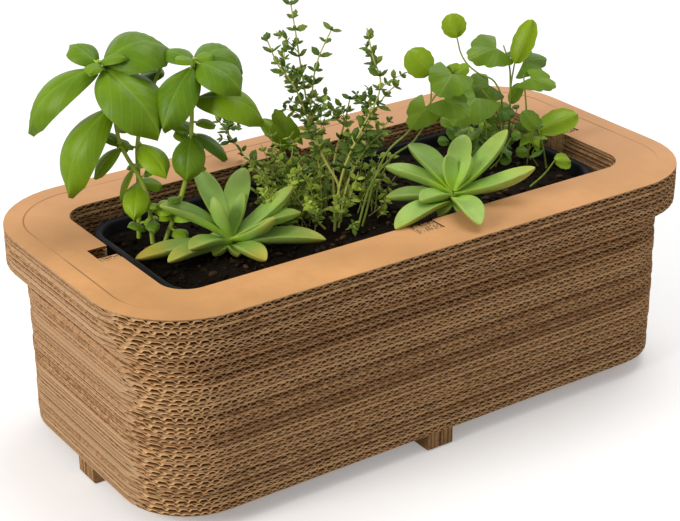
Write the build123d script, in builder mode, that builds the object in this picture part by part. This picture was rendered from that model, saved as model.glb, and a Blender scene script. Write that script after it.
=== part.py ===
from build123d import *
import os
from math import copysign, cos, radians, sin, sqrt, tan

# Indoor herb planter: a box of stacked corrugated boards on four key slats, with a planted tub inside.
# Millimetres, +Z up. The origin is on the floor under the middle of the box, +X runs along its length,
# and the side at -Y is the front.

# Stack of boards
board_thickness = 6.0
floor_board_count = 2
ring_board_count = 16
rim_board_count = 4
body_length = 395.0
body_width = 192.5
body_corner_radius = 45.0
rim_overhang = 11.5

# Well in the middle of the stack
end_wall = 29.5
opening_width = 142.5
opening_corner_radius = 18.0

# Key slats: upright in notches of the well's wall, with a toe under the stack that is a foot
key_board_count = 3
key_notch_depth = 13.0
key_clearance = 0.5
key_top_drop = 2.0
key_deep_step = 8.0
key_shallow_step = 1.5
foot_height = 12.0
foot_setback = 0.5
foot_round = 2.5

# Tub and soil
tub_gap = 9.0
tub_lip_drop = 9.0
tub_lip_width = 4.0
tub_lip_thickness = 2.0
tub_lip_corner_radius = 24.0
tub_wall = 1.6
tub_draft = 3.0
soil_drop = 7.0
soil_clearance = 0.3

# Plants
stem_foot = 3.0
stem_bend_share = 0.45
blade_margin = 2.0
basil_stem_radius = 1.9
basil_petiole_radius = 1.1
basil_blade_thickness = 1.2
basil_petiole_share = 0.14
basil_petiole_overlap = 2.0
thyme_stem_radius = 0.9
thyme_leaf_length = 9.0
thyme_leaf_width = 4.6
thyme_leaf_thickness = 0.9
thyme_leaf_spacing = 14.0
thyme_leaf_rise = 35.0
thyme_leaf_turn = 25.0
thyme_leaf_reach = 0.97
thyme_sprig_count = 9
thyme_sprig_spread = 10.5
thyme_sprig_lean = 15.0
thyme_sprig_height = 24.0
thyme_sprig_turn = 137.5
coriander_stem_radius = 1.2
coriander_blade_thickness = 1.0
succulent_leaf_thickness = 6.0
succulent_stem_radius = 6.0
succulent_crown_radius = 9.0

# Levels and sizes that follow
well_floor = foot_height + floor_board_count * board_thickness
body_board_count = floor_board_count + ring_board_count
body_top = foot_height + body_board_count * board_thickness
rim_top = body_top + rim_board_count * board_thickness
rim_length = body_length + 2 * rim_overhang
rim_width = body_width + 2 * rim_overhang
rim_corner_radius = body_corner_radius + rim_overhang
opening_length = body_length - 2 * end_wall
key_thickness = key_board_count * board_thickness
notch_width = key_thickness + 2 * key_clearance
tub_lip_level = rim_top - tub_lip_drop
tub_lip_length = opening_length - 2 * tub_gap
tub_lip_breadth = opening_width - 2 * tub_gap
soil_top = tub_lip_level - soil_drop

# Plant places on the soil: x from the tub's ends, y from its middle
left_end = -tub_lip_length / 2
right_end = tub_lip_length / 2
basil_place = (left_end + 31.0, 28.0)
left_succulent_place = (left_end + 65.0, -6.0)
thyme_place = (left_end + 131.0, -21.5)
thyme_sprig_place = (left_end + 137.0, 12.5)
right_succulent_place = (left_end + 198.0, -44.0)
coriander_runner_place = (left_end + 143.0, -28.5)
coriander_place = (right_end - 17.0, 18.5)

os.makedirs("parts", exist_ok=True)


# Stack of boards

def cut_well():
    RectangleRounded(opening_length, opening_width, opening_corner_radius, mode=Mode.SUBTRACT)
    Rectangle(notch_width, opening_width + 2 * key_notch_depth, mode=Mode.SUBTRACT)
    Rectangle(opening_length + 2 * key_notch_depth, notch_width, mode=Mode.SUBTRACT)


def cut_key_slots():
    slot_y = (opening_width + key_notch_depth) / 2
    slot_x = (opening_length + key_notch_depth) / 2
    with Locations((0, slot_y), (0, -slot_y)):
        Rectangle(notch_width, key_notch_depth, mode=Mode.SUBTRACT)
    with Locations((slot_x, 0), (-slot_x, 0)):
        Rectangle(key_notch_depth, notch_width, mode=Mode.SUBTRACT)


for index in range(body_board_count):
    level = foot_height + index * board_thickness
    with BuildPart() as body_board:
        with BuildSketch(Plane.XY.offset(level)):
            RectangleRounded(body_length, body_width, body_corner_radius)
            if index < floor_board_count:
                cut_key_slots()
            else:
                cut_well()
        extrude(amount=board_thickness)
    name = f"body_board_{index + 1:02d}"
    body_board.part.label = name
    export_step(body_board.part, f"parts/{name}.step")

for index in range(rim_board_count):
    level = body_top + index * board_thickness
    with BuildPart() as rim_board:
        with BuildSketch(Plane.XY.offset(level)):
            RectangleRounded(rim_length, rim_width, rim_corner_radius)
            cut_well()
        extrude(amount=board_thickness)
    name = f"rim_board_{index + 1}"
    rim_board.part.label = name
    export_step(rim_board.part, f"parts/{name}.step")


# Key slats: name, outward direction, half width of the well and of the body there, side of the tall board,
# drop of the other two boards below its top

keys = (
    ("front_key", Vector(0, -1, 0), opening_width / 2, body_width / 2, 1, key_shallow_step),
    ("back_key", Vector(0, 1, 0), opening_width / 2, body_width / 2, -1, key_deep_step),
    ("left_key", Vector(-1, 0, 0), opening_length / 2, body_length / 2, -1, key_deep_step),
    ("right_key", Vector(1, 0, 0), opening_length / 2, body_length / 2, 1, key_shallow_step),
)

for name, outward, well_face, body_face, tall_side, step_drop in keys:
    side_plane = Plane(origin=(0, 0, 0), x_dir=outward, z_dir=outward.cross(Vector(0, 0, 1)))
    leg_back = well_face + key_notch_depth - key_clearance
    toe_end = body_face - foot_setback
    key_top = rim_top - key_top_drop
    with BuildPart() as key:
        with BuildSketch(side_plane):
            with BuildLine():
                Polyline(
                    (well_face, 0),
                    (toe_end, 0),
                    (toe_end, foot_height),
                    (leg_back, foot_height),
                    (leg_back, key_top),
                    (well_face, key_top),
                    close=True,
                )
            make_face()
            toe_corner = vertices().sort_by_distance((toe_end, 0))[0]
            fillet(toe_corner, foot_round)
        extrude(amount=key_thickness / 2, both=True)
        # Two of the three boards stop lower in the notch
        low_middle = -tall_side * board_thickness / 2
        with BuildSketch(side_plane.offset(low_middle)):
            with Locations(((well_face + leg_back) / 2, key_top - step_drop / 2)):
                Rectangle(leg_back - well_face, step_drop)
        extrude(amount=key_thickness / 2 - board_thickness / 2, both=True, mode=Mode.SUBTRACT)
    key.part.label = name
    export_step(key.part, f"parts/{name}.step")


# Tub: tapered walls, an open top and a flat lip all round

def tub_section(level, inset):
    """Rounded rectangle of the tapered wall at a level, drawn in from the wall's outer face."""
    narrowing = (tub_lip_level - level) * tan(radians(tub_draft)) + inset + tub_lip_width
    RectangleRounded(
        tub_lip_length - 2 * narrowing,
        tub_lip_breadth - 2 * narrowing,
        tub_lip_corner_radius - narrowing,
    )


with BuildPart() as tub:
    for level in (well_floor, tub_lip_level):
        with BuildSketch(Plane.XY.offset(level)):
            tub_section(level, 0)
    loft()
    with BuildSketch(Plane.XY.offset(tub_lip_level)):
        RectangleRounded(tub_lip_length, tub_lip_breadth, tub_lip_corner_radius)
    extrude(amount=-tub_lip_thickness)
    for level in (well_floor + tub_wall, tub_lip_level):
        with BuildSketch(Plane.XY.offset(level)):
            tub_section(level, tub_wall)
    loft(mode=Mode.SUBTRACT)
tub.part.label = "tub"
export_step(tub.part, "parts/tub.step")

with BuildPart() as soil:
    for level in (well_floor + tub_wall, soil_top):
        with BuildSketch(Plane.XY.offset(level)):
            tub_section(level, tub_wall + soil_clearance)
    loft()
soil.part.label = "soil"
export_step(soil.part, "parts/soil.step")


# Plant pieces: tubes for stems, bent blades for leaves. Points are from the plant's place on the soil.

def ground(place):
    return Vector(place[0], place[1], soil_top)


def bend_radii(points):
    """Largest radius for each corner of a stem, as its two runs allow."""
    radii = []
    for before, corner, after in zip(points, points[1:], points[2:]):
        run_in = corner - before
        run_out = after - corner
        half_turn = radians(run_in.get_angle(run_out)) / 2
        radii.append(stem_bend_share * min(run_in.length, run_out.length) / tan(half_turn))
    return radii


def stem_line(points):
    with BuildLine() as line:
        if len(points) == 2:
            Line(*points)
        else:
            FilletPolyline(*points, radius=bend_radii(points))
    return line.wire()


def stem_tube(points, radius):
    path = stem_line(points)
    with BuildPart() as tube:
        with BuildLine():
            add(path)
        with BuildSketch(Plane(origin=path @ 0, z_dir=path % 0)):
            Circle(radius)
        sweep()
    return tube.part


def rooted(points, place):
    """A stem's points above its place, with a short upright foot on the soil."""
    above = [ground(place) + Vector(point) for point in points]
    return [above[0], above[0] + Vector(0, 0, stem_foot), *above[1:]]


def leaf_plane(base, tip):
    """Plane at the middle of a leaf: x from base to tip, z out of its upper face."""
    along = (tip - base).normalized()
    across = Vector(0, 0, 1).cross(along).normalized()
    return Plane(origin=(base + tip) / 2, x_dir=along, z_dir=along.cross(across))


def leaf_outline(length, width):
    """Flat outline of a leaf, pointed at both ends."""
    with BuildSketch() as outline:
        with BuildLine():
            ThreePointArc((-length / 2, 0), (0, width / 2), (length / 2, 0))
            ThreePointArc((length / 2, 0), (0, -width / 2), (-length / 2, 0))
        make_face()
    return outline.sketch


def small_leaf(base, tip, width, thickness):
    with BuildPart() as leaf:
        with BuildSketch(leaf_plane(base, tip)):
            add(leaf_outline((tip - base).length, width))
        extrude(amount=thickness)
    return leaf.part


def blade(base, tip, width, droop, thickness, fleshy=False):
    """A leaf bent down by droop degrees along its length, or up if they are negative."""
    chord = (tip - base).length
    rise = chord / 2 * tan(radians(droop) / 4)
    bend = (chord**2 / 4 + rise**2) / (2 * rise)
    reach = chord / 2 + blade_margin
    drop = rise - bend + copysign(sqrt(bend**2 - reach**2), bend)
    flat = leaf_plane(base, tip)
    upright = Plane(origin=flat.origin, x_dir=flat.x_dir, z_dir=-flat.y_dir)
    with BuildPart() as leaf:
        with BuildSketch(upright):
            with BuildLine():
                if fleshy:
                    ThreePointArc((-reach, drop), (0, rise + thickness / 2), (reach, drop))
                    ThreePointArc((reach, drop), (0, rise - thickness / 2), (-reach, drop))
                else:
                    ThreePointArc((-reach, drop), (0, rise), (reach, drop))
                    Line((reach, drop), (reach, drop - thickness))
                    under = drop - thickness
                    ThreePointArc((reach, under), (0, rise - thickness), (-reach, under))
                    Line((-reach, under), (-reach, drop))
            make_face()
        extrude(amount=width, both=True)
        with BuildSketch(flat):
            add(leaf_outline(chord, width))
        extrude(amount=chord, both=True, mode=Mode.INTERSECT)
    return leaf.part


# Basil: three stems, and leaves as (point on the stem, tip, width, droop)

basil_stems = (
    ((0, 0, 0), (-2, 2, 35), (-13, 9, 65), (-16, 11, 92), (-21, 15, 117)),
    ((6, -4, 0), (18, -12, 41), (22, -15, 73), (23, -16, 95), (25, -17, 118)),
    ((-3, 12, 0), (-2, 10, 39), (-1, 9, 66), (11, 11, 93), (18, 11, 106)),
)
basil_leaves = (
    ((-21, 15, 115), (21, 8, 118), 34, 50),
    ((-21, 15, 115), (-6, -29, 83), 36, 50),
    ((-21, 15, 115), (-58, 35, 74), 34, 75),
    ((-21, 15, 115), (-28, 37, 120), 18, 30),
    ((-16, 11, 92), (-46, 12, 38), 31, 45),
    ((-16, 11, 92), (8, 22, 103), 20, 40),
    ((25, -17, 116), (-5, -28, 84), 28, 50),
    ((25, -17, 116), (60, -9, 100), 30, 60),
    ((25, -17, 116), (39, -46, 102), 27, 55),
    ((25, -17, 116), (18, 8, 118), 15, 35),
    ((23, -16, 95), (57, -42, 78), 30, 65),
    ((18, 11, 104), (10, 36, 90), 22, 45),
    ((22, -15, 72), (7, -28, 47), 19, 40),
    ((22, -15, 72), (47, -16, 50), 16, 45),
    ((22, -15, 72), (22, 6, 73), 12, 40),
    ((-1, 9, 64), (-1, -18, 43), 20, 45),
    ((-2, 10, 40), (-16, -8, 21), 17, 40),
    ((13.6, -9, 26), (0, -3, 24), 14, 40),
    ((-13, 9, 64), (-17, 25, 69), 9, 30),
    ((-13, 9, 64), (-30, 15, 45), 12, 40),
    ((-7.5, 5.5, 50), (-12, 18, 24), 9, 35),
)

basil_pieces = []
for points in basil_stems:
    basil_pieces.append(stem_tube(rooted(points, basil_place), basil_stem_radius))
for start, end, width, droop in basil_leaves:
    node = ground(basil_place) + Vector(*start)
    tip = ground(basil_place) + Vector(*end)
    base = node + (tip - node) * basil_petiole_share
    petiole_end = base + (tip - base).normalized() * basil_petiole_overlap
    basil_pieces.append(stem_tube([node, petiole_end], basil_petiole_radius))
    basil_pieces.append(blade(base, tip, width, droop, basil_blade_thickness))
with BuildPart() as basil:
    add(basil_pieces)
basil.part.label = "basil"
export_step(basil.part, "parts/basil.step")


# Thyme: long stems and low sprigs, with crossed pairs of small leaves all along them

thyme_stems = (
    ((0, 0, 0), (3, -1, 29), (-4, 4, 47), (-11, 8, 67), (-10, 7, 92), (-7, 6, 109), (0, 1, 129)),
    ((5, -3, 0), (8, -5, 50), (14, -9, 66), (24, -15, 95), (20, -13, 112), (17, -11, 130)),
    ((-4, 3, 0), (-10, 10, 70), (-11, 17, 102), (-12, 21, 124), (-13, 24, 141)),
    ((-6, 0, 0), (-13, 6, 72), (-24, 7, 99), (-33, 8, 112), (-39, 10, 128)),
    ((8, 0, 0), (20, -8, 66), (30, -10, 84), (40, -12, 92)),
    ((5, 3, 0), (15, 5, 30), (25, 3, 47), (39, -2, 64)),
    ((-3, 6, 0), (-10, 9, 9), (-17, 17, 23), (-14, 27, 35), (-9, 31, 48)),
    ((-6, 45, 0), (-7, 72, 17), (-8, 97, 25), (-13, 106, 37), (-18, 112, 48)),
    ((6, 8, 0), (14, 20, 37), (23, 21, 61), (27, 21, 76)),
)


def thyme_sprig(number):
    """A short stem that leans outwards from the middle of the bush."""
    turn = radians(thyme_sprig_turn * number)
    outward = Vector(cos(turn), sin(turn) / 2, 0)
    foot = outward * thyme_sprig_spread * sqrt(number + 1)
    middle = foot + outward + Vector(0, 0, thyme_sprig_height / 2)
    top = foot + outward * thyme_sprig_lean + Vector(0, 0, thyme_sprig_height)
    return foot, middle, top


def thyme_leaf_pairs(path, first_turn):
    """Crossed pairs of small leaves along a stem."""
    leaves = []
    rise = radians(thyme_leaf_rise)
    count = int(path.length / thyme_leaf_spacing)
    for number in range(1, count + 1):
        share = thyme_leaf_reach * number / count
        node = path @ share
        up = path % share
        level = Plane(origin=node, z_dir=up).x_dir
        for half_turn in (0, 180):
            turn = first_turn + 90 * number + half_turn
            outward = level.rotate(Axis((0, 0, 0), up), turn)
            tip = node + (outward * cos(rise) + up * sin(rise)) * thyme_leaf_length
            leaves.append(small_leaf(node, tip, thyme_leaf_width, thyme_leaf_thickness))
    return leaves


thyme_lines = [rooted(points, thyme_place) for points in thyme_stems]
for number in range(thyme_sprig_count):
    thyme_lines.append(rooted(thyme_sprig(number), thyme_sprig_place))
thyme_pieces = []
for order, points in enumerate(thyme_lines):
    thyme_pieces.append(stem_tube(points, thyme_stem_radius))
    thyme_pieces.extend(thyme_leaf_pairs(stem_line(points), thyme_leaf_turn * order))
with BuildPart() as thyme:
    add(thyme_pieces)
thyme.part.label = "thyme"
export_step(thyme.part, "parts/thyme.step")


# Coriander: stems, and round leaves as (base, tip, width, droop)

coriander_stems = (
    ((0, 0, 0), (1, 0, 23), (1.5, 0.5, 48), (3, -1, 65)),
    ((-4, 3, 0), (-2, 4, 25), (-4, 11, 48), (-12, 21, 54), (-18, 28, 63), (-21, 32, 78)),
    ((3, 4, 0), (3, 3, 45), (2, 4, 62), (0, 8, 74)),
    ((6, -14, 0), (5, -12, 33), (4, -9, 57)),
    ((3, -37, 0), (0, -36, 15), (-1, -32, 27)),
    ((-8, -2, 0), (-13, -5, 29), (-21, -4, 44), (-26, -3, 51)),
    ((-27, -56, 0), (-16, -58, 8), (-9, -59, 16)),
)
coriander_leaves = (
    ((-21, 32, 77), (-20, 39, 92), 17, 25),
    ((0, 8, 73), (-33, 6, 70), 21, 40),
    ((3, -1, 63), (17, -1, 91), 15, 25),
    ((3, -1, 63), (33, 2, 59), 13, 40),
    ((4, -9, 56), (14, -32, 46), 17, 40),
    ((-4, 11, 47), (-34, 8, 44), 20, 40),
    ((-26, -3, 50), (-57, -9, 33), 22, 40),
    ((-1, -32, 26), (28, -38, 33), 16, 40),
    ((-1, -32, 26), (-5, -20, 37), 13, 30),
    ((1.3, 0, 35), (13, 4, 46), 8, 30),
    ((1, 0, 24), (2, 14, 32), 10, 30),
    ((-9, -59, 15), (4, -60, 12), 10, 40),
)

# Coriander that has run in among the thyme
coriander_runner_stems = (
    ((0, 0, 0), (16, 7, 25), (36, 13, 36), (57, 16, 43), (65, 13, 63), (66, 14, 86)),
    ((6, 3, 0), (30, 12, 39), (53, 16, 50), (67, 9, 72), (74, -1, 91)),
    ((4, 75, 0), (2, 76, 13), (3, 76, 31)),
)
coriander_runner_leaves = (
    ((66, 14, 84), (57, 25, 98), 20, 25),
    ((74, -1, 90), (54, -9, 77), 22, 40),
    ((70, 3, 82), (82, -5, 92), 13, 30),
    ((65, 12, 66), (47, 11, 52), 17, 40),
    ((66, 7, 72), (76, -15, 62), 19, 40),
    ((3, 76, 30), (1, 84, 54), 15, 30),
    ((3, 76, 30), (-11, 92, 47), 11, 30),
)

coriander_clumps = (
    (coriander_place, coriander_stems, coriander_leaves),
    (coriander_runner_place, coriander_runner_stems, coriander_runner_leaves),
)
coriander_pieces = []
for place, stems, leaves in coriander_clumps:
    for points in stems:
        coriander_pieces.append(stem_tube(rooted(points, place), coriander_stem_radius))
    for start, end, width, droop in leaves:
        base = ground(place) + Vector(*start)
        tip = ground(place) + Vector(*end)
        coriander_pieces.append(blade(base, tip, width, droop, coriander_blade_thickness))
with BuildPart() as coriander:
    add(coriander_pieces)
coriander.part.label = "coriander"
export_step(coriander.part, "parts/coriander.step")


# Succulents: a short stem to the crown, and fleshy leaves as (tip from the crown, width, droop)

succulents = (
    (
        "left_succulent",
        left_succulent_place,
        (0, 0, 7),
        (
            ((-1, 36, 34), 20, 20),
            ((26, 23, 32), 20, 20),
            ((41, -9, 27), 15, -25),
            ((39, -20, 14), 14, 30),
            ((46, -36, 4), 17, 30),
            ((-36, 19, 24), 16, 35),
            ((-36, -15, 12), 15, 30),
            ((-42, 6, 4), 15, 35),
            ((-57, 14, 2), 15, 30),
            ((2, -38, 8), 14, 35),
            ((-9, 1, 31), 14, -20),
            ((18, -24, 18), 13, -30),
            ((14, 5, 25), 9, -20),
        ),
    ),
    (
        "right_succulent",
        right_succulent_place,
        (-2, -12, 23),
        (
            ((-6, 38, 20), 20, 25),
            ((24, 20, 25), 18, 20),
            ((41, -1, 31), 15, -25),
            ((44, -25, 13), 17, -25),
            ((-16, -47, 0), 17, 45),
            ((-55, -15, -2), 15, 30),
            ((-30, -6, 3), 15, 30),
            ((-33, 25, -5), 14, 30),
            ((-30, 30, 13), 14, 25),
            ((0, 6, 24), 11, -20),
            ((12, -1, 23), 12, -20),
        ),
    ),
)

for name, place, crown, leaves in succulents:
    crown_point = ground(place) + Vector(*crown)
    with BuildPart() as succulent:
        with BuildSketch(Plane(origin=ground(place))):
            Circle(succulent_stem_radius)
        with BuildSketch(Plane(origin=crown_point)):
            Circle(succulent_crown_radius)
        loft()
        for end, width, droop in leaves:
            tip = crown_point + Vector(*end)
            add(blade(crown_point, tip, width, droop, succulent_leaf_thickness, fleshy=True))
    succulent.part.label = name
    export_step(succulent.part, f"parts/{name}.step")
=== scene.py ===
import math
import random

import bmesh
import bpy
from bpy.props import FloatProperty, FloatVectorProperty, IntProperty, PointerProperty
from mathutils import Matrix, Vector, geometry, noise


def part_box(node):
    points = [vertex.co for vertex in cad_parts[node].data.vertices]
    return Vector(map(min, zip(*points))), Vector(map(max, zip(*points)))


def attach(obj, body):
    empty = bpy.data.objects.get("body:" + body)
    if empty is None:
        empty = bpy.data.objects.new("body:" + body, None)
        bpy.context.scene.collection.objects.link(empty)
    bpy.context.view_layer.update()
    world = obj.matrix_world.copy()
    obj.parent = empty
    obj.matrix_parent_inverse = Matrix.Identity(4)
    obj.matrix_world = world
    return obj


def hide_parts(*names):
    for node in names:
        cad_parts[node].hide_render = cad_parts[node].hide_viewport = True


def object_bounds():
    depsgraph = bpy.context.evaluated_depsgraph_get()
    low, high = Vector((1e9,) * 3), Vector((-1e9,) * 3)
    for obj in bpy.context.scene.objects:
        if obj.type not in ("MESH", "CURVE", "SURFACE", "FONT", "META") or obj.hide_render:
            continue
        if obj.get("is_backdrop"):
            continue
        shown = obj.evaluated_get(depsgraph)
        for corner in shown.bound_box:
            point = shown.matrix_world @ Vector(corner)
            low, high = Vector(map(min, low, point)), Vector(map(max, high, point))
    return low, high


bl_info = {
    "name": "Indoor herb planter",
    "version": (1, 0, 0),
    "blender": (4, 5, 0),
    "location": "View3D > Sidebar > Planter",
    "description": "A planter of stacked corrugated board with its tub, soil, herbs and succulents",
    "category": "Add Mesh",
}

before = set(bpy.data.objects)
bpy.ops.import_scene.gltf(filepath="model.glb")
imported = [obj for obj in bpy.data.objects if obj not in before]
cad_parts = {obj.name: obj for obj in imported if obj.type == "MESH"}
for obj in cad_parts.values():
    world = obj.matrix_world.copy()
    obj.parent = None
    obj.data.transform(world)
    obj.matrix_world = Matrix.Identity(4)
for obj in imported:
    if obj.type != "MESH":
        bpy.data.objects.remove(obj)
cad_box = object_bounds()

MM = 0.001
UP = Vector((0.0, 0.0, 1.0))
LIGHT_SIDE = Vector((-0.45, -0.7, 0.55))
VEIN_LEAN = 0.5
BASIL_VEINS = 5.5
STEM_STEPS = 12
ARCH_STEEPNESS = 3.2
# Places in a piece's list of materials, which starts with leaves or with a board's cut edges
STEM_SLOT = 1
RIM_TOP_SLOT = 1
FACE_SLOT = 2
BODY_BOARDS = sorted(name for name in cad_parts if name.startswith("body_board"))
RIM_BOARDS = sorted(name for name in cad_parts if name.startswith("rim_board"))


def node_box(node):
    low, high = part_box(node)
    return Vector(low), Vector(high)


SOIL_TOP = node_box("soil")[1].z
RIM_TOP = node_box(RIM_BOARDS[-1])[1].z


# Plant routes, in millimetres from each plant's place on the soil

BASIL_PLACE = (-128.0, 28.0)
BASIL_STEMS = (
    ((0, 0, 0), (-2, 2, 35), (-13, 9, 65), (-16, 11, 92), (-21, 15, 117)),
    ((6, -4, 0), (18, -12, 41), (22, -15, 73), (23, -16, 95), (25, -17, 118)),
    ((-3, 12, 0), (-2, 10, 39), (-1, 9, 66), (11, 11, 93), (18, 11, 106)),
)
# Leaves as point on the stem, tip, width, droop, shade from dark to bright
BASIL_LEAVES = (
    ((-21, 15, 115), (23, 8, 120), 39, 90, 0.3),
    ((-21, 15, 115), (-6, -29, 83), 38, 60, 0.35),
    ((-21, 15, 115), (-61, 36, 75), 27, 75, 0.4),
    ((-21, 15, 115), (-28, 37, 123), 18, 45, 0.3),
    ((-16, 11, 92), (-49, 13, 38), 27, 85, 0.5),
    ((-16, 11, 92), (8, 22, 103), 20, 40, 0.1),
    ((25, -17, 116), (-5, -28, 84), 26, 50, 0.25),
    ((25, -17, 116), (60, -9, 103), 29, 130, 0.25),
    ((25, -17, 116), (39, -46, 105), 26, 65, 0.3),
    ((25, -17, 116), (18, 8, 118), 15, 35, 0.3),
    ((23, -16, 95), (57, -42, 81), 27, 85, 0.6),
    ((18, 11, 104), (10, 36, 90), 22, 45, 0.1),
    ((22, -15, 72), (10, -27, 48), 20, 45, 0.3),
    ((22, -15, 72), (47, -16, 50), 16, 45, 0.2),
    ((22, -15, 72), (22, 6, 73), 12, 40, 0.2),
    ((-1, 9, 64), (2, -18, 51), 17, 45, 1.0),
    ((-2, 10, 40), (-16, -8, 24), 16, 40, 1.1),
    ((13.6, -9, 26), (0, -3, 24), 14, 40, 0.85),
    ((-13, 9, 64), (-17, 25, 69), 9, 30, 0.3),
    ((-13, 9, 64), (-30, 15, 45), 12, 40, 0.7),
    ((-7.5, 5.5, 50), (-12, 18, 24), 9, 35, 0.8),
    ((-21, 15, 116), (-31, 6, 114), 11, 50, 0.5),
    ((-21, 15, 116), (-10, 1, 121), 10, 40, 0.4),
    ((25, -17, 117), (12, -21, 121), 11, 40, 0.5),
    ((25, -17, 117), (37, -20, 119), 10, 40, 0.4),
    ((12, 10, 94), (3, 30, 82), 20, 45, 0.15),
    ((8, -5.3, 18), (22, -20, 22), 13, 40, 0.9),
    ((-2, 10, 38), (14, 8, 33), 13, 40, 0.6),
)

THYME_PLACE = (-28.0, -21.5)
THYME_STEMS = (
    ((0, 0, 0), (3, -1, 28), (-4, 4, 47), (-11, 8, 67), (-10, 7, 92), (-7, 6, 109), (0, 1, 129)),
    ((0, 0, 0), (3, -1, 28), (8, -5, 50), (14, -9, 66), (24, -15, 95), (20, -13, 112), (17, -11, 130)),
    ((0, 0, 0), (3, -1, 28), (-4, 4, 47), (-9, 8, 64), (-11, 17, 102), (-12, 21, 124), (-13, 24, 141)),
    ((0, 0, 0), (3, -1, 28), (-4, 4, 47), (-12, 7, 70), (-24, 7, 99), (-33, 8, 112), (-39, 10, 128)),
    ((0, 0, 0), (3, -1, 28), (8, -5, 50), (18, -8, 66), (30, -10, 84), (40, -12, 92)),
    ((5, 3, 0), (15, 5, 30), (25, 3, 47), (39, -2, 64)),
    ((-3, 6, 0), (-10, 9, 9), (-17, 17, 23), (-14, 27, 35), (-9, 31, 48)),
    ((-6, 45, 0), (-7, 72, 17), (-8, 97, 25), (-13, 106, 37), (-18, 112, 48)),
    ((6, 8, 0), (14, 20, 37), (23, 21, 61), (27, 21, 76)),
)
THYME_SPRIG_MIDDLE = (-19.0, 3.0)
BUSH_RADIUS = 40.0
BUSH_DEPTH = 0.75

CORIANDER_PLACE = (142.0, 18.5)
CORIANDER_STEMS = (
    ((0, 0, 0), (1, 0, 23), (1.5, 0.5, 48), (3, -1, 65)),
    ((-4, 3, 0), (-2, 4, 25), (-4, 11, 48), (-12, 21, 54), (-18, 28, 63), (-21, 32, 78)),
    ((3, 4, 0), (3, 3, 45), (2, 4, 62), (0, 8, 74)),
    ((6, -14, 0), (5, -12, 33), (4, -9, 57)),
    ((3, -37, 0), (0, -36, 15), (-1, -32, 27)),
    ((-8, -2, 0), (-13, -5, 29), (-21, -4, 44), (-26, -3, 51)),
    ((-27, -56, 0), (-16, -58, 8), (-9, -59, 16)),
    ((-158, -47, 0), (-142, -40, 25), (-122, -34, 36), (-101, -31, 43), (-93, -34, 63), (-92, -33, 86)),
    ((-152, -44, 0), (-128, -35, 39), (-105, -31, 50), (-91, -38, 72), (-84, -48, 91)),
    ((-154, 28, 0), (-156, 29, 13), (-155, 29, 31)),
)
# Leaves as base, tip, width, droop, shade from dark to bright
CORIANDER_ROUND_LEAVES = (
    ((-21, 32, 77), (-20, 39, 92), 17, 25, 1.0),
    ((-92, -33, 84), (-101, -22, 98), 20, 25, 0.9),
    ((3, -1, 63), (17, -1, 91), 15, 25, 0.9),
    ((1.3, 0, 35), (13, 4, 46), 9, 30, 0.5),
    ((1, 0, 24), (2, 14, 32), 10, 30, 0.4),
    ((-9, -59, 15), (4, -60, 12), 12, 30, 0.9),
    ((-1, -32, 26), (-5, -20, 37), 13, 30, 0.4),
    ((-1, -32, 26), (28, -38, 33), 18, 30, 0.8),
    ((-155, 29, 30), (-169, 45, 47), 12, 30, 0.7),
)
CORIANDER_LOBED_LEAVES = (
    ((0, 8, 73), (-33, 6, 70), 27, 40, 0.35),
    ((3, -1, 63), (33, 2, 59), 22, 40, 0.2),
    ((4, -9, 56), (14, -32, 52), 17, 40, 0.35),
    ((-4, 11, 47), (-34, 8, 44), 24, 40, 0.25),
    ((-26, -3, 50), (-57, -9, 33), 31, 40, 0.3),
    ((-84, -48, 90), (-104, -56, 77), 27, 40, 0.35),
    ((-88, -44, 82), (-76, -52, 92), 15, 30, 0.6),
    ((-93, -35, 66), (-111, -36, 52), 20, 40, 0.45),
    ((-92, -40, 72), (-82, -62, 62), 22, 40, 0.3),
    ((-155, 29, 30), (-163, 38, 56), 17, 30, 0.6),
)

# Succulents as node, place, crown, and leaves as tip from the crown, width, droop, shade towards yellow
SUCCULENTS = (
    (
        "left_succulent",
        (-94.0, -6.0),
        (0, 0, 7),
        (
            ((-1, 36, 34), 15, 20, 0.0),
            ((26, 23, 32), 16, 20, 0.1),
            ((41, -9, 27), 15, -25, 0.3),
            ((39, -20, 14), 14, 30, 0.2),
            ((46, -36, 0), 17, 30, 0.5),
            ((-36, 19, 24), 16, 35, 0.1),
            ((-36, -15, 8), 14, 30, 0.4),
            ((-46, -6, -1), 14, 35, 0.6),
            ((-57, 14, -4), 15, 30, 1.0),
            ((2, -38, -1), 14, 35, 0.8),
            ((-9, 1, 29), 14, -20, 0.1),
            ((18, -24, 17), 13, -30, 0.5),
            ((14, 5, 25), 9, -20, 0.1),
        ),
    ),
    (
        "right_succulent",
        (39.0, -44.0),
        (-2, -12, 23),
        (
            ((-6, 38, 20), 17, 25, 0.0),
            ((24, 20, 25), 15, 20, 0.1),
            ((41, -1, 31), 15, -25, 0.2),
            ((44, -25, 13), 16, -25, 0.4),
            ((-16, -47, -2), 15, 45, 0.15),
            ((-55, -15, -6), 16, 30, 0.2),
            ((-30, -6, 3), 14, 30, 0.1),
            ((-33, 25, -5), 14, 30, 0.2),
            ((-30, 30, 13), 14, 25, 0.1),
            ((0, 6, 22), 11, -20, 0.05),
            ((12, -1, 21), 12, -20, 0.1),
        ),
    ),
)


# Settings that a user would change

def length(name, description, default):
    return FloatProperty(name=name, description=description, default=default, unit="LENGTH")


def angle(name, description, degrees):
    default = math.radians(degrees)
    return FloatProperty(name=name, description=description, default=default, subtype="ANGLE")


def amount(name, description, default):
    return FloatProperty(name=name, description=description, default=default)


def count(name, description, default):
    return IntProperty(name=name, description=description, default=default)


def color(name, description, default):
    rgba = (*default, 1.0)
    return FloatVectorProperty(name=name, description=description, default=rgba, size=4, subtype="COLOR")


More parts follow.
